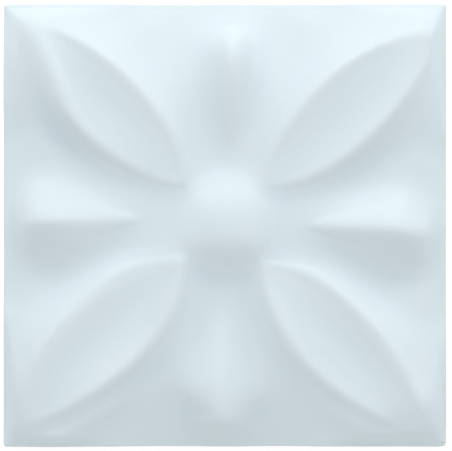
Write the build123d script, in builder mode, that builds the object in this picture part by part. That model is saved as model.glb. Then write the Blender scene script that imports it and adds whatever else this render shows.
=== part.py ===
"""Relief wall tile: one square of fired clay with a carved flower on its glazed face.

Lengths are in mm. The origin is the middle of the back, +Z leaves the glazed face and
+Y is the top of the hung tile. A bearing is in degrees, counted from +X towards +Y.
"""
from build123d import *
from math import cos, degrees, radians, sin, sqrt, tan
import os

os.makedirs("parts", exist_ok=True)

# Body
tile_size = 148.0
edge_height = 7.0
corner_radius = 1.2
dome_rise = 6.5
dome_power = 6.5
dome_points = 13
dome_overrun = 2.0
bevel_height = 7.6
bevel_angle = 29.0

# Flower
flower_middle = (-0.3, 0.5)
root_height = 3.0

# Petals
petal_bearings = (42.4, 134.4, 223.9, 313.6)
petal_half_widths = (13.3, 12.7, 14.5, 13.7)
petal_root = 22.4
petal_tip_margin = 11.5
petal_tip = tile_size / sqrt(2) - petal_tip_margin
petal_centre = (petal_root + petal_tip) / 2
petal_half_length = (petal_tip - petal_root) / 2
petal_height = 17.6
crest_angle = 48.0
rim_angle = 41.0
apron_angle = 20.0
cove_radius = 39.0
gouge_radius = 47.0
gouge_depth = 0.5
gouge_turn_shift = 16.0
gouge_inner_path_radius = 700.0
gouge_outer_path_radius = 185.0
gouge_reach = 64.0
gouge_headroom = 12.0

# Buds
bud_bearings = (-4.1, 88.4, 181.7, 268.2)
bud_reaches = (3.4, -0.2, 2.9, 3.8)
bud_shifts = (1.3, -1.0, -2.2, 0.1)
bud_breadths = (1.16, 0.88, 1.16, 0.80)
bud_root = 22.0
bud_tip_margin = 4.0
bud_half_widths = (2.5, 6.5, 10.8, 14.3, 16.9, 18.2, 18.2, 16.5, 10.0)
bud_ridge_heights = (0.0, 1.3, 2.4, 3.5, 4.6, 5.6, 5.9, 3.3, -0.8)
bud_pitch = (tile_size / 2 - bud_tip_margin - bud_root) / (len(bud_half_widths) - 1)
bud_stations = [bud_root + i * bud_pitch for i in range(len(bud_half_widths))]
bud_shoulder = 0.66
bud_cove = 0.26
bud_foot_depth = 1.6

# Button
button_middle = (0.8, 0.6)
button_height = 5.8
button_radius = 11.4
button_shoulder = 3.2
button_foot_radius = 22.0
button_foot_depth = 0.8
button_foot_slope = 0.15

# Back
groove_count = 7
groove_width = 5.0
groove_depth = 0.8
groove_margin = 12.0


def ground_height(x, y):
    """Height of the domed ground, full in the middle and falling to all four edges."""
    across = 1 - abs(2 * x / tile_size) ** dome_power
    along = 1 - abs(2 * y / tile_size) ** dome_power
    return edge_height + dome_rise * across * along


def dome_face():
    """The ground as one smooth face that reaches a little past the tile."""
    step = (tile_size + 2 * dome_overrun) / (dome_points - 1)
    places = [step * (i - (dome_points - 1) / 2) for i in range(dome_points)]
    rows = [[(x, y, ground_height(x, y)) for y in places] for x in places]
    return Face.make_surface_from_array_of_points(rows, tol=0.01, min_deg=3, max_deg=5)


def petal_side(side_radius, arc_centre):
    """A round hill whose coved flank makes one long side of a petal."""
    away = (0, arc_centre / abs(arc_centre), 0)
    across = (away[1], 0, 0)
    cove_centre = (
        side_radius + cove_radius * sin(radians(rim_angle)),
        petal_height + cove_radius * cos(radians(rim_angle)),
    )
    with BuildPart() as hill:
        with BuildSketch(Plane(origin=(petal_centre, arc_centre, 0), x_dir=away, z_dir=across)):
            with BuildLine():
                cove = CenterArc(cove_centre, cove_radius, 270 - crest_angle, crest_angle - apron_angle)
                crest = cove @ 0
                apron = cove @ 1
                foot = (apron.X + (apron.Y - root_height) / tan(radians(apron_angle)), root_height)
                Polyline(apron, foot, (0, root_height), (0, crest.Y), crest)
            make_face()
        revolve(axis=Axis((petal_centre, arc_centre, 0), (0, 0, 1)))
    return hill.part


def gouge_cut():
    """The hollow of a round gouge that climbs along a petal, turns and dips at its tip."""
    turn = (petal_centre + gouge_turn_shift, 0, petal_height - gouge_depth)
    reach = 0.5 * gouge_radius
    rise = gouge_radius - sqrt(gouge_radius**2 - reach**2)
    with BuildPart() as cutter:
        with BuildSketch(Plane(origin=turn, x_dir=(0, 1, 0), z_dir=(1, 0, 0))) as section:
            with BuildLine():
                ThreePointArc((-reach, rise), (0, 0), (reach, rise))
                Polyline((reach, rise), (reach, gouge_headroom), (-reach, gouge_headroom), (-reach, rise))
            make_face()
        for path_radius, sense in ((gouge_inner_path_radius, -1), (gouge_outer_path_radius, 1)):
            revolve(
                section.sketch,
                axis=Axis((turn[0], 0, turn[2] - path_radius), (0, sense, 0)),
                revolution_arc=degrees(gouge_reach / path_radius),
            )
    return cutter.part


def petal(half_width):
    """A petal lying along +X: two arcs in plan, coved outside and hollow on top."""
    side_radius = (petal_half_length**2 + half_width**2) / (2 * half_width)
    right_side = petal_side(side_radius, side_radius - half_width)
    left_side = petal_side(side_radius, half_width - side_radius)
    hollow = gouge_cut()
    with BuildPart() as body:
        add(right_side)
        add(left_side, mode=Mode.INTERSECT)
        add(hollow, mode=Mode.SUBTRACT)
    return body.part


def bud(breadth):
    """A keeled drop lying along +X that rises out of the ground and ends bluntly."""
    with BuildPart() as body:
        for station, plain_width, ridge in zip(bud_stations, bud_half_widths, bud_ridge_heights):
            half_width = breadth * plain_width
            keel = ground_height(station, 0) + ridge
            foot = ground_height(station, half_width) - bud_foot_depth
            flank = [
                (half_width * share, foot + (keel - foot) * height)
                for share, height in ((1, 0), (2 / 3, bud_cove), (1 / 3, bud_shoulder), (0, 1))
            ]
            with BuildSketch(Plane(origin=(station, 0, 0), x_dir=(0, 1, 0), z_dir=(1, 0, 0))):
                with BuildLine():
                    Spline(*flank)
                    Spline(*[(-y, z) for y, z in flank])
                    Polyline(
                        (-half_width, foot),
                        (-half_width, root_height),
                        (half_width, root_height),
                        (half_width, foot),
                    )
                make_face()
        loft()
    return body.part


with BuildPart() as button:
    middle = ground_height(0, 0)
    top = (0, middle + button_height)
    shoulder = (button_radius, middle + button_shoulder)
    foot = (button_foot_radius, middle - button_foot_depth)
    with BuildSketch(Plane.XZ):
        with BuildLine():
            cap = TangentArc(top, shoulder, tangent=(1, 0))
            Spline(shoulder, foot, tangents=(cap % 1, (1, -button_foot_slope)))
            Polyline(foot, (foot[0], root_height), (0, root_height), top)
        make_face()
    revolve(axis=Axis.Z)

petals = [
    petal(half_width).rotate(Axis.Z, bearing)
    for bearing, half_width in zip(petal_bearings, petal_half_widths)
]
buds = [
    bud(breadth).translate((reach, shift, 0)).rotate(Axis.Z, bearing)
    for bearing, reach, shift, breadth in zip(bud_bearings, bud_reaches, bud_shifts, bud_breadths)
]

with BuildPart() as mould:
    root_size = tile_size + 2 * bevel_height * tan(radians(bevel_angle))
    with BuildSketch():
        Rectangle(root_size, root_size)
    extrude(amount=2 * petal_height, taper=bevel_angle)

with BuildPart() as tile:
    with BuildSketch() as outline:
        RectangleRounded(tile_size, tile_size, corner_radius)
    extrude(amount=2 * petal_height)
    split(bisect_by=dome_face(), keep=Keep.BOTTOM)
    with Locations(flower_middle):
        add(petals)
        add(buds)
    with Locations(button_middle):
        add(button.part)
    extrude(outline.sketch, amount=2 * petal_height, mode=Mode.INTERSECT)
    add(mould.part, mode=Mode.INTERSECT)
    with BuildSketch():
        with GridLocations(0, (tile_size - 2 * groove_margin) / (groove_count - 1), 1, groove_count):
            Rectangle(tile_size - 2 * groove_margin, groove_width)
    extrude(amount=groove_depth, mode=Mode.SUBTRACT)

tile.part.label = "tile"
export_step(tile.part, "parts/tile.step")
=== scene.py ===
"""Looks of the relief wall tile: a pale glaze poured over the carved clay, and its unglazed back.

Lengths are in metres. The frame has the tile on its back, the glazed face up and +Y at the
top of the photograph.
"""

import math

import bmesh
import bpy
import numpy as np
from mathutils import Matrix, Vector
from mathutils.bvhtree import BVHTree


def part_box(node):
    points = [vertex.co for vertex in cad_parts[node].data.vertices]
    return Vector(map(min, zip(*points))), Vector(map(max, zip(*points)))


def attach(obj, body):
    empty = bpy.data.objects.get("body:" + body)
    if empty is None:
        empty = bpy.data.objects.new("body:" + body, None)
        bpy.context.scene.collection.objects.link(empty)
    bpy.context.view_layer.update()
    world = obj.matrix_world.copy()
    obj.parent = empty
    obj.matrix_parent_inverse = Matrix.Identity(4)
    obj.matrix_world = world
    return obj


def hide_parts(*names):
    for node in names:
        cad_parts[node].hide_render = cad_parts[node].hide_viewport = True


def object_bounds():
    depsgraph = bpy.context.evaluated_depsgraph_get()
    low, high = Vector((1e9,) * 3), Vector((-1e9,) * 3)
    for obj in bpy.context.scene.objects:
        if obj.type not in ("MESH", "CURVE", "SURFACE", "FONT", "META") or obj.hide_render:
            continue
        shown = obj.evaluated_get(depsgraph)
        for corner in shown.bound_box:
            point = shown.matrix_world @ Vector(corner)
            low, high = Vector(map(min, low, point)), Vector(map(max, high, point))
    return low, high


MM = 0.001

# Glazed face: its rims go from soft at SOFT_REACH to crisper at CRISP_REACH from the middle
FACE_CELLS = 268
RIM_SOFTNESS = 1.3 * MM
SOFT_REACH = 40.0 * MM
TIP_SOFTNESS = 1.0 * MM
CRISP_REACH = 90.0 * MM
VALLEY_SOFTNESS = 3.2 * MM
VALLEY_FILL = 0.9
GLAZE_THICKNESS = 0.3 * MM

# Petals that sit a little aside from their drawn place: middle, spread and shift in mm
PETAL_SHIFTS = (
    (50.0, 40.0, 15.0, -0.9, 0.9),
    (-50.0, 42.0, 15.0, -0.3, -0.3),
    (-60.0, 51.0, 8.0, -1.5, -0.7),
    (-44.0, -46.0, 15.0, -1.1, 1.1),
    (-30.0, -17.0, 9.0, -0.8, 1.8),
    (50.0, -50.0, 15.0, 0.6, 0.9),
    (30.0, -18.0, 9.0, 0.4, 1.1),
)

# Touches to the clay: place, reach along and across in mm, turn in degrees and rise in mm
PETAL_TOUCHES = (
    (32.0, 30.0, 18.0, 5.0, 43.0, -0.8),
    (-33.0, 35.0, 18.0, 5.0, 134.0, -0.8),
    (-38.0, -34.0, 16.0, 5.0, 224.0, -0.8),
    (42.0, -42.0, 18.0, 5.0, 314.0, -1.1),
    (-41.0, -53.0, 10.0, 4.0, 35.0, 0.8),
    (-44.0, -60.0, 15.0, 1.4, 30.0, -0.8),
    (-46.0, -65.5, 15.0, 3.0, 29.0, 1.8),
    (44.0, -63.0, 10.0, 1.4, -28.0, -0.8),
    (48.0, -68.0, 12.0, 3.0, -25.0, 1.3),
    (60.0, -42.0, 8.0, 2.0, 125.0, -0.6),
    (54.0, -45.0, 14.0, 2.0, 125.0, 0.5),
    (-58.0, -42.0, 14.0, 2.5, 65.0, 0.5),
    (-52.0, 43.0, 15.0, 2.5, 115.0, 0.5),
    (-60.5, 42.0, 15.0, 2.2, 110.0, -1.8),
)
ROOT_TOUCHES = (
    (-15.0, 32.0, 14.0, 2.5, 108.0, 1.0),
    (15.5, 34.0, 12.0, 2.5, 72.0, 1.1),
    (12.0, 12.0, 8.0, 4.0, 90.0, 1.0),
    (-12.0, 12.0, 8.0, 4.0, 90.0, 0.8),
    (5.0, 30.0, 10.0, 3.0, 90.0, 0.4),
    (-15.0, -27.0, 16.0, 4.0, 88.0, 2.2),
    (16.5, -31.0, 16.0, 4.0, 108.0, 2.0),
    (-14.0, -8.0, 6.0, 5.0, 0.0, 1.5),
    (12.0, -8.0, 6.0, 5.0, 0.0, 1.3),
    (0.0, -8.0, 6.0, 5.0, 0.0, 0.8),
    (-3.0, 25.0, 10.0, 6.0, 90.0, -1.2),
    (-4.5, -26.0, 12.0, 4.0, 90.0, -1.3),
    (4.5, -26.0, 12.0, 4.0, 90.0, -1.3),
    (-28.0, 17.0, 9.0, 4.0, -25.0, -0.6),
    (-55.0, 22.0, 10.0, 8.0, 90.0, -0.8),
)
BUD_TOUCHES = (
    (-16.0, 63.0, 10.0, 8.0, 90.0, -2.3),
    (17.0, 62.0, 10.0, 8.0, 90.0, -2.4),
    (3.0, 54.0, 10.0, 3.0, 90.0, 1.5),
    (-8.0, 71.0, 8.0, 4.0, 0.0, -0.6),
    (-60.0, -14.0, 9.0, 6.0, 90.0, -2.2),
    (-57.0, 2.0, 6.0, 4.0, 0.0, 0.6),
    (48.0, 1.0, 14.0, 5.0, 0.0, 2.2),
    (58.0, -18.0, 9.0, 7.0, 90.0, -2.0),
    (65.0, 5.0, 5.0, 3.0, 90.0, -1.8),
    (-19.0, -67.0, 7.0, 7.0, 90.0, -1.8),
    (18.0, -68.0, 7.0, 7.0, 90.0, -2.3),
    (1.0, -68.0, 6.0, 4.5, 0.0, 2.8),
    (-11.0, -55.0, 6.0, 4.0, 90.0, 2.2),
    (8.0, -57.0, 6.0, 4.0, 90.0, 1.9),
    (12.0, -38.0, 10.0, 2.5, 100.0, 0.5),
    (0.0, -65.0, 5.0, 1.5, 0.0, 0.8),
    (-9.0, -62.0, 6.0, 1.5, -25.0, -1.2),
    (10.0, -63.0, 4.0, 1.5, 25.0, -1.2),
)
EDGE_TOUCHES = (
    (-74.0, 8.0, 45.0, 2.5, 90.0, 1.7),
    (74.0, 0.0, 30.0, 2.5, 90.0, 0.6),
    (-73.0, 72.0, 7.0, 7.0, 0.0, -2.4),
    (-68.0, 52.0, 12.0, 3.0, 90.0, -0.6),
    (-57.0, 50.0, 12.0, 3.0, 113.0, 2.1),
    (-59.0, -73.0, 10.0, 4.0, 0.0, 1.8),
    (60.0, -68.0, 6.0, 4.0, 0.0, -2.2),
    (67.0, -63.0, 8.0, 3.0, 90.0, 2.2),
    (69.0, 58.0, 11.0, 3.0, 83.0, -1.8),
    (74.0, 63.0, 9.0, 3.0, 90.0, 0.9),
)

# Places where the glaze fills more or less than elsewhere: the same values, with the share last
FILL_TOUCHES = (
    (0.0, -44.0, 18.0, 8.0, 90.0, 1.0),
    (-44.0, -60.0, 16.0, 3.0, 30.0, -0.4),
    (46.0, -62.0, 14.0, 3.0, -30.0, -0.4),
    (-58.0, 44.0, 20.0, 3.0, 112.0, -1.0),
    (63.0, 47.0, 16.0, 3.0, 66.0, -1.0),
    (-33.0, -18.0, 13.0, 3.0, 30.0, 0.8),
    (-54.0, -37.0, 12.0, 3.0, 58.0, 0.8),
    (-70.0, 70.0, 7.0, 7.0, 0.0, 1.0),
    (70.0, 70.0, 7.0, 7.0, 0.0, 1.0),
    (-70.0, -70.0, 7.0, 7.0, 0.0, 1.0),
    (70.0, -70.0, 7.0, 7.0, 0.0, 1.0),
)

# Edges, sides and back: the glaze foot as rise over its line and reach past the side, in mm
EDGE_HEIGHT = 7.0 * MM
EDGE_ROUND = 0.9 * MM
EDGE_STEPS = 4
CORNER_STEPS = 6
GLAZE_LINE = 2.6 * MM
GLAZE_LINE_WAVE = 0.7 * MM
GLAZE_FOOT = ((1.8, -0.12), (0.9, -0.05), (0.4, 0.0), (0.15, -0.05), (0.0, -0.2), (-0.15, -0.3))
BACK_ROUND = 0.5 * MM
BACK_STEPS = 3
SHARP_ANGLE = 50.0

# Grooves in the back
GROOVE_COUNT = 7
GROOVE_WIDTH = 5.0 * MM
GROOVE_DEPTH = 0.8 * MM
GROOVE_MARGIN = 12.0 * MM

# Worn corner, at +X and -Y, with its waves in radians per mm up and along
WORN_REACH = 3.0 * MM
WORN_DEPTH = 0.4 * MM
WORN_RAGGED = 0.5
RAGGED_UP = 4.1
RAGGED_ALONG = 5.3
CHIP_HEIGHT = 6.5 * MM
CHIP_REACH = 10.0 * MM
CHIP_FINENESS = 1400.0
CHIP_LIMITS = (0.27, 0.31)

# Colours: pooled and thin are full where the glaze gathers or thins by so many thicknesses. The pooled
# colour is thicker glaze plus painted shade in the hollows, and the thin colour is thinner glaze plus a
# painted highlight on the rims
FULL_POOL_SHADE_HIGHLIGHT = 3.0
GLAZE_COLOURS = ((0.635, 0.735, 0.785, 1), (0.655, 0.745, 0.79, 1))
POOLED_AND_SHADED_COLOUR = (0.62, 0.73, 0.785, 1)
THIN_AND_HIGHLIGHTED_COLOUR = (0.65, 0.742, 0.79, 1)
CHIP_COLOUR = (0.3, 0.32, 0.32, 1)
CLAY_COLOURS = ((0.58, 0.49, 0.38, 1), (0.74, 0.67, 0.56, 1))
WHITE = (1, 1, 1, 1)

# Photograph
IMAGE_WIDTH = 452
IMAGE_HEIGHT = 451
TILE_CENTRE_PX = (225.0, 225.4)
TILE_WIDTH_PX = 441.9
CAMERA_HEIGHT = 1.2
SENSOR_WIDTH = 36.0

# Studio: name, bearing from +X towards +Y, elevation, size and watts of each softbox
FLOOR_REACH = 3.0
LAMP_DISTANCE = 0.9
SOFTBOXES = (
    ("top_light", 90.0, 45.0, 0.9, 2.8),
    ("upper_right_light", 45.0, 20.0, 0.9, 3.1),
    ("upper_left_light", 135.0, 20.0, 0.9, 2.6),
    ("bottom_light", 270.0, 20.0, 0.9, 1.7),
)
WORLD_STRENGTH = 0.59


def blurred(heights, spacing, softness):
    """Heights smoothed by a bell curve of the given softness, with the borders kept."""
    reach = max(1, math.ceil(3 * softness / spacing))
    offsets = np.arange(-reach, reach + 1) * spacing
    weights = np.exp(-0.5 * (offsets / softness) ** 2)
    weights /= weights.sum()
    for axis in (0, 1):
        padding = [(0, 0), (0, 0)]
        padding[axis] = (reach, reach)
        padded = np.pad(heights, padding, mode="reflect", reflect_type="odd")
        length = heights.shape[axis]
        heights = sum(
            weight * np.take(padded, range(i, i + length), axis)
            for i, weight in enumerate(weights)
        )
    return heights


def drawn_place(x, y, reach):
    """Where on the carved solid the surface at a place comes from, inside the tile's reach."""
    for middle_x, middle_y, spread, shift_x, shift_y in PETAL_SHIFTS:
        distance = math.hypot(x - middle_x * MM, y - middle_y * MM)
        share = math.exp(-0.5 * (distance / (spread * MM)) ** 2)
        x -= share * shift_x * MM
        y -= share * shift_y * MM
    return max(-reach, min(reach, x)), max(-reach, min(reach, y))


def carved_heights(node, places):
    """Height of the solid under each point of a square grid, read from above."""
    corners = [vertex.co for vertex in node.data.vertices]
    faces = [tuple(face.vertices) for face in node.data.polygons]
    solid = BVHTree.FromPolygons(corners, faces)
    above = 2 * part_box(node.name)[1][2]
    down = Vector((0, 0, -1))
    heights = np.empty((len(places), len(places)))
    for row, y in enumerate(places):
        for column, x in enumerate(places):
            source = drawn_place(x, y, places[-1])
            heights[row, column] = solid.ray_cast(Vector((*source, above)), down)[0].z
    return heights


def touches_at(places, touches):
    """The sum of soft oval touches at each point of the grid."""
    x, y = np.meshgrid(places / MM, places / MM)
    total = np.zeros_like(x)
    for middle_x, middle_y, along, across, turn, strength in touches:
        cosine, sine = math.cos(math.radians(turn)), math.sin(math.radians(turn))
        u = (x - middle_x) * cosine + (y - middle_y) * sine
        v = (y - middle_y) * cosine - (x - middle_x) * sine
        total += strength * np.exp(-0.5 * ((u / along) ** 2 + (v / across) ** 2))
    return total


def glazed_heights(node, places):
    """Height of the glaze, soft over the rims, and how much of it gathers in the valleys, which also sets
    painted shade in the hollows and a painted highlight on the rims.
    """
    spacing = places[1] - places[0]
    touches = PETAL_TOUCHES + ROOT_TOUCHES + BUD_TOUCHES + EDGE_TOUCHES
    carved = carved_heights(node, places) + MM * touches_at(places, touches)
    from_middle = np.hypot(*np.meshgrid(places, places))
    crisp = np.clip((from_middle - SOFT_REACH) / (CRISP_REACH - SOFT_REACH), 0, 1)
    surface = blurred(carved, spacing, RIM_SOFTNESS)
    surface += crisp * (blurred(carved, spacing, TIP_SOFTNESS) - surface)
    valley = blurred(carved, spacing, VALLEY_SOFTNESS) - surface
    fill = np.where(valley > 0, VALLEY_FILL, 0) + touches_at(places, FILL_TOUCHES)
    return surface + np.clip(fill, 0, 1) * valley, valley / GLAZE_THICKNESS


def outline_points(half, steps_per_side):
    """Points round a square with their outward bearing, and a fan of bearings at each corner."""
    points = []
    for side in range(4):
        outward = math.radians(90 * side)
        away = Vector((math.cos(outward), math.sin(outward)))
        along = Vector((-away.y, away.x))
        for step in range(steps_per_side + 1):
            place = half * away + half * (2 * step / steps_per_side - 1) * along
            points.append((place.x, place.y, outward))
        for step in range(1, CORNER_STEPS):
            points.append((place.x, place.y, outward + math.radians(90 * step / CORNER_STEPS)))
    return points


def glaze_wave(x, y):
    """A slow irregular wave round the tile, between -1 and 1."""
    angle = math.atan2(y, x)
    swells = ((0.5, 5, 0.7), (0.3, 11, 2.1), (0.2, 23, 0.0))
    return sum(share * math.sin(count * angle + start) for share, count, start in swells)


def side_rings(outline, tops):
    """Rings from the rounded upper edge over the glaze line to the back arris."""
    tops = np.array(tops)
    lines = np.array([GLAZE_LINE + GLAZE_LINE_WAVE * glaze_wave(x, y) for x, y, outward in outline])
    rings = []
    for step in range(1, EDGE_STEPS + 1):
        turn = math.radians(90 * step / EDGE_STEPS)
        rings.append((EDGE_ROUND * math.sin(turn), tops - EDGE_ROUND * (1 - math.cos(turn))))
    for rise, proud in GLAZE_FOOT:
        rings.append((EDGE_ROUND + proud * MM, lines + rise * MM))
    side = EDGE_ROUND - GLAZE_THICKNESS
    for step in range(BACK_STEPS + 1):
        turn = math.radians(90 * step / BACK_STEPS)
        height = BACK_ROUND * (1 - math.sin(turn))
        rings.append((side - BACK_ROUND * (1 - math.cos(turn)), np.full(len(outline), height)))
    return rings, lines


def groove_outline(centre_y, half_length, half_width):
    """Corners of one straight groove."""
    signs = ((-1, -1), (1, -1), (1, 1), (-1, 1))
    return [(x * half_length, centre_y + y * half_width) for x, y in signs]


def ring_of(mesh, points):
    """A closed ring of new vertices."""
    return [mesh.verts.new(point) for point in points]


def edges_of(mesh, ring):
    """The edges round a ring, made where they are missing."""
    pairs = zip(ring, ring[1:] + ring[:1])
    return [mesh.edges.get(pair) or mesh.edges.new(pair) for pair in pairs]


def join_rings(mesh, upper, lower):
    """Faces between two rings, as triangles where the upper ring repeats a vertex."""
    for i in range(len(upper)):
        j = (i + 1) % len(upper)
        corners = dict.fromkeys((upper[i], lower[i], lower[j], upper[j]))
        mesh.faces.new(corners)


def add_face(mesh, places, heights):
    """The glazed face as a grid of vertices, one list for each row."""
    grid = [
        [mesh.verts.new((x, y, heights[row, column])) for column, x in enumerate(places)]
        for row, y in enumerate(places)
    ]
    for near, far in zip(grid, grid[1:]):
        for i in range(len(near) - 1):
            mesh.faces.new((near[i], near[i + 1], far[i + 1], far[i]))
    return grid


def add_back(mesh, rim, half):
    """The back inside its arris, with the straight grooves that key the tile to its bed."""
    edges = edges_of(mesh, rim)
    pitch = 2 * (half - GROOVE_MARGIN) / (GROOVE_COUNT - 1)
    for groove in range(GROOVE_COUNT):
        centre_y = (groove - (GROOVE_COUNT - 1) / 2) * pitch
        outline = groove_outline(centre_y, half - GROOVE_MARGIN, GROOVE_WIDTH / 2)
        mouth = ring_of(mesh, [(x, y, 0) for x, y in outline])
        floor = ring_of(mesh, [(x, y, GROOVE_DEPTH) for x, y in outline])
        edges += edges_of(mesh, mouth)
        join_rings(mesh, mouth, floor)
        mesh.faces.new(floor)
    bmesh.ops.triangle_fill(mesh, use_beauty=True, use_dissolve=False, edges=edges, normal=(0, 0, -1))


def wear_corner(mesh, half):
    """One corner rubbed round and a little ragged, from the face to the back."""
    for vertex in mesh.verts:
        x, y, z = vertex.co
        near = 1 - math.hypot(half - x, half + y) / WORN_REACH
        if near > 0:
            ragged = 1 + WORN_RAGGED * math.sin((RAGGED_UP * z + RAGGED_ALONG * (x + y)) / MM)
            inward = WORN_DEPTH * near**2 * ragged
            vertex.co.x -= inward
            vertex.co.y += inward


def glazed_tile(node):
    """The whole tile as one closed mesh: face, rounded edge, sides and grooved back."""
    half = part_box(node.name)[1][0]
    inner = half - EDGE_ROUND
    places = np.linspace(-inner, inner, FACE_CELLS + 1)
    spacing = places[1] - places[0]
    heights, pool_shade_highlight_amounts = glazed_heights(node, places)

    mesh = bmesh.new()
    # How far the glaze gathers or thins at each point. This also paints shade in the hollows and a
    # highlight on the rims
    pool_shade_highlight = mesh.verts.layers.float.new("pool_shade_highlight")
    above_line = mesh.verts.layers.float.new("above_line")
    grid = add_face(mesh, places, heights)
    for row, vertices in enumerate(grid):
        for column, vertex in enumerate(vertices):
            vertex[pool_shade_highlight] = pool_shade_highlight_amounts[row, column]
            vertex[above_line] = (vertex.co.z - GLAZE_LINE) / MM

    outline = outline_points(inner, FACE_CELLS)
    upper = [grid[round((y + inner) / spacing)][round((x + inner) / spacing)] for x, y, outward in outline]
    rings, lines = side_rings(outline, [vertex.co.z for vertex in upper])
    for reach, levels in rings:
        lower = ring_of(mesh, [
            (x + reach * math.cos(outward), y + reach * math.sin(outward), level)
            for (x, y, outward), level in zip(outline, levels)
        ])
        for vertex, line in zip(lower, lines):
            vertex[above_line] = (vertex.co.z - line) / MM
        join_rings(mesh, upper, lower)
        upper = lower
    add_back(mesh, upper, half)
    wear_corner(mesh, half)
    for vertex in mesh.verts:
        if vertex.co.z <= GROOVE_DEPTH:
            vertex[above_line] = -GLAZE_LINE / MM
    bmesh.ops.recalc_face_normals(mesh, faces=mesh.faces)

    data = bpy.data.meshes.new("glazed_tile")
    mesh.to_mesh(data)
    mesh.free()
    data.polygons.foreach_set("use_smooth", [True] * len(data.polygons))
    data.set_sharp_from_angle(angle=math.radians(SHARP_ANGLE))
    piece = bpy.data.objects.new("glazed_tile", data)
    bpy.context.collection.objects.link(piece)
    return piece


class Nodes:
    """Short way to add and join shader nodes."""

    def __init__(self, owner):
        owner.use_nodes = True
        self.tree = owner.node_tree
        self.tree.nodes.clear()

    def add(self, kind, inputs=None, **settings):
        """A new node with its settings, and its inputs set or linked."""
        node = self.tree.nodes.new(kind)
        for key, value in settings.items():
            setattr(node, key, value)
        for key, value in (inputs or {}).items():
            if isinstance(value, bpy.types.NodeSocket):
                self.tree.links.new(value, node.inputs[key])
            else:
                node.inputs[key].default_value = value
        return node

    def blend(self, factor, first, second):
        """A colour between two others."""
        mix = self.add("ShaderNodeMix", data_type="RGBA", clamp_factor=True)
        for name, value in (("Factor", factor), ("A", first), ("B", second)):
            socket = next(s for s in mix.inputs if s.name == name and s.enabled)
            if isinstance(value, bpy.types.NodeSocket):
                self.tree.links.new(value, socket)
            else:
                socket.default_value = value
        return next(s for s in mix.outputs if s.enabled)

    def between(self, value, low, high):
        """0 up to low, 1 from high on, and smooth in between."""
        ramp = self.add("ShaderNodeMapRange", {
            "Value": value,
            "From Min": low,
            "From Max": high,
        }, interpolation_type="SMOOTHSTEP")
        return ramp.outputs["Result"]


def chips(nodes, place, worn_corner):
    """1 on a few flakes close to the worn corner and 0 on whole glaze."""
    away = nodes.add("ShaderNodeVectorMath", {0: place, 1: worn_corner}, operation="DISTANCE")
    flakes = nodes.add("ShaderNodeTexNoise", {
        "Vector": place,
        "Scale": CHIP_FINENESS,
        "Detail": 2.0,
    })
    flaked = nodes.add("ShaderNodeMath", {
        0: away.outputs["Value"],
        1: -1 / CHIP_REACH,
        2: flakes.outputs["Fac"],
    }, operation="MULTIPLY_ADD")
    return nodes.between(flaked.outputs[0], *CHIP_LIMITS)


def glaze_shader(nodes, place, worn_corner):
    """Satin glaze with a slight ripple, chipped at one corner. It is deeper where it pools, with painted
    shade in the hollows, and paler with a painted highlight on the rims.
    """
    cloud = nodes.add("ShaderNodeTexNoise", {
        "Vector": place,
        "Scale": 38.0,
        "Detail": 3.0,
        "Roughness": 0.5,
    })
    pool_shade_highlight = nodes.add("ShaderNodeAttribute", attribute_name="pool_shade_highlight").outputs["Fac"]
    body = nodes.blend(cloud.outputs["Fac"], *GLAZE_COLOURS)
    # Deeper colour in the hollows is thicker glaze plus painted shade. Paler colour on the rims is thinner
    # glaze plus a painted highlight
    deep_and_shaded = nodes.blend(nodes.between(pool_shade_highlight, 0.0, FULL_POOL_SHADE_HIGHLIGHT), body, POOLED_AND_SHADED_COLOUR)
    whole = nodes.blend(nodes.between(pool_shade_highlight, 0.0, -FULL_POOL_SHADE_HIGHLIGHT), deep_and_shaded, THIN_AND_HIGHLIGHTED_COLOUR)
    ripple = nodes.add("ShaderNodeTexNoise", {"Vector": place, "Scale": 260.0, "Detail": 2.0})
    bump = nodes.add("ShaderNodeBump", {
        "Height": ripple.outputs["Fac"],
        "Strength": 0.12,
        "Distance": 0.4 * MM,
    })
    return nodes.add("ShaderNodeBsdfPrincipled", {
        "Base Color": nodes.blend(chips(nodes, place, worn_corner), whole, CHIP_COLOUR),
        "Roughness": 0.4,
        "IOR": 1.5,
        "Normal": bump.outputs["Normal"],
    })


def clay_shader(nodes, place):
    """Bare fired clay with a fine grit."""
    grit = nodes.add("ShaderNodeTexNoise", {
        "Vector": place,
        "Scale": 900.0,
        "Detail": 4.0,
        "Roughness": 0.7,
    })
    bump = nodes.add("ShaderNodeBump", {
        "Height": grit.outputs["Fac"],
        "Strength": 0.5,
        "Distance": 0.3 * MM,
    })
    return nodes.add("ShaderNodeBsdfPrincipled", {
        "Base Color": nodes.blend(grit.outputs["Fac"], *CLAY_COLOURS),
        "Roughness": 0.9,
        "Normal": bump.outputs["Normal"],
    })


def tile_material(worn_corner):
    """Ice-blue glaze above the glaze line, and bare clay on the foot and the back."""
    material = bpy.data.materials.new("ice_blue_glaze")
    nodes = Nodes(material)
    place = nodes.add("ShaderNodeTexCoord").outputs["Object"]
    above_line = nodes.add("ShaderNodeAttribute", attribute_name="above_line").outputs["Fac"]
    surface = nodes.add("ShaderNodeMixShader", {
        0: nodes.between(above_line, -0.1, 0.1),
        1: clay_shader(nodes, place).outputs["BSDF"],
        2: glaze_shader(nodes, place, worn_corner).outputs["BSDF"],
    })
    nodes.add("ShaderNodeOutputMaterial", {"Surface": surface.outputs["Shader"]})
    return material


def seen_directly(nodes):
    """1 where the camera, a reflection or clear glass shows a surface, and 0 for its light."""
    path = nodes.add("ShaderNodeLightPath").outputs
    mirrored = nodes.add("ShaderNodeMath", {
        0: path["Is Glossy Ray"],
        1: path["Is Transmission Ray"],
    }, operation="MAXIMUM")
    seen = nodes.add("ShaderNodeMath", {
        0: path["Is Camera Ray"],
        1: mirrored.outputs[0],
    }, operation="MAXIMUM")
    return seen.outputs[0]


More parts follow.
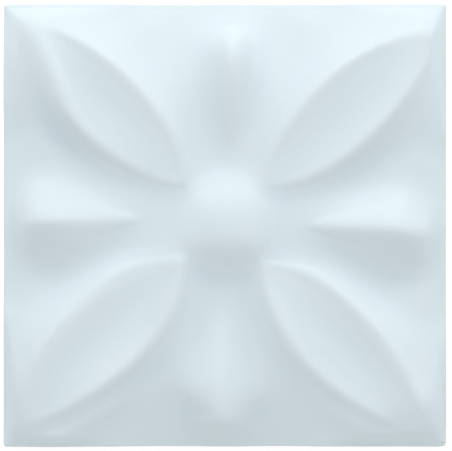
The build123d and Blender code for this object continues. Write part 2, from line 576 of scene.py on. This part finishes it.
def floor_material():
    """A pale floor that looks white and still takes the tile's shadow."""
    material = bpy.data.materials.new("pale_floor")
    nodes = Nodes(material)
    lit = nodes.add("ShaderNodeBsdfDiffuse", {"Color": (0.8, 0.8, 0.8, 1)})
    dim = nodes.add("ShaderNodeBsdfDiffuse", {"Color": (0.4, 0.4, 0.4, 1)})
    white = nodes.add("ShaderNodeEmission", {"Color": WHITE, "Strength": 0.75})
    shown = nodes.add("ShaderNodeAddShader", {0: dim.outputs[0], 1: white.outputs[0]})
    surface = nodes.add("ShaderNodeMixShader", {
        0: seen_directly(nodes),
        1: lit.outputs[0],
        2: shown.outputs[0],
    })
    nodes.add("ShaderNodeOutputMaterial", {"Surface": surface.outputs["Shader"]})
    return material


def add_floor():
    """A wide floor under the tile that isn't part of it."""
    signs = ((-1, -1), (1, -1), (1, 1), (-1, 1))
    corners = [(x * FLOOR_REACH, y * FLOOR_REACH, 0) for x, y in signs]
    data = bpy.data.meshes.new("floor")
    data.from_pydata(corners, [], [(0, 1, 2, 3)])
    data.materials.append(floor_material())
    floor = bpy.data.objects.new("floor", data)
    bpy.context.collection.objects.link(floor)


def add_softbox(name, bearing, elevation, size, watts):
    """A square lamp that looks at the tile."""
    lamp = bpy.data.lights.new(name, "AREA")
    lamp.shape = "SQUARE"
    lamp.size = size
    lamp.energy = watts
    box = bpy.data.objects.new(name, lamp)
    direction = Vector((
        math.cos(math.radians(bearing)) * math.cos(math.radians(elevation)),
        math.sin(math.radians(bearing)) * math.cos(math.radians(elevation)),
        math.sin(math.radians(elevation)),
    ))
    box.location = direction * LAMP_DISTANCE
    box.rotation_euler = direction.to_track_quat("Z", "Y").to_euler()
    bpy.context.collection.objects.link(box)


def add_world(strength):
    """Soft light from all round that looks plain white."""
    world = bpy.data.worlds.new("studio")
    bpy.context.scene.world = world
    nodes = Nodes(world)
    soft = nodes.add("ShaderNodeBackground", {"Color": WHITE, "Strength": strength})
    white = nodes.add("ShaderNodeBackground", {"Color": WHITE, "Strength": 1.0})
    path = nodes.add("ShaderNodeLightPath")
    sky = nodes.add("ShaderNodeMixShader", {
        0: path.outputs["Is Camera Ray"],
        1: soft.outputs[0],
        2: white.outputs[0],
    })
    nodes.add("ShaderNodeOutputWorld", {"Surface": sky.outputs["Shader"]})


def add_camera(tile_width, edge_height):
    """Straight above, with the tile as large and as placed as in the photograph."""
    metres_per_pixel = tile_width / TILE_WIDTH_PX
    camera = bpy.data.objects.new("camera", bpy.data.cameras.new("camera"))
    camera.data.sensor_width = SENSOR_WIDTH
    camera.data.lens = SENSOR_WIDTH * CAMERA_HEIGHT / (IMAGE_WIDTH * metres_per_pixel)
    camera.data.clip_start = 0.01
    camera.location = (
        (IMAGE_WIDTH / 2 - TILE_CENTRE_PX[0]) * metres_per_pixel,
        (TILE_CENTRE_PX[1] - IMAGE_HEIGHT / 2) * metres_per_pixel,
        edge_height + CAMERA_HEIGHT,
    )
    bpy.context.collection.objects.link(camera)
    bpy.context.scene.camera = camera


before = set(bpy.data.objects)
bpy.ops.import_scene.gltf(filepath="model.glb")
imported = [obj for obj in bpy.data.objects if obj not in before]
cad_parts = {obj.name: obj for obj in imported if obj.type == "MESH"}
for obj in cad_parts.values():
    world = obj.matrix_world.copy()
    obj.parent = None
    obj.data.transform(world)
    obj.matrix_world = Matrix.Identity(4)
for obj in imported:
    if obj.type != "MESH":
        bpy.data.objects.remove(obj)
cad_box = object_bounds()

tile = glazed_tile(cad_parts["tile"])
half = cad_box[1][0]
tile.data.materials.append(tile_material((half, -half, CHIP_HEIGHT)))
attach(tile, "root")
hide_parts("tile")

add_floor()
for softbox in SOFTBOXES:
    add_softbox(*softbox)
add_world(WORLD_STRENGTH)
add_camera(2 * half, EDGE_HEIGHT)

bpy.context.scene.view_settings.view_transform = "Standard"
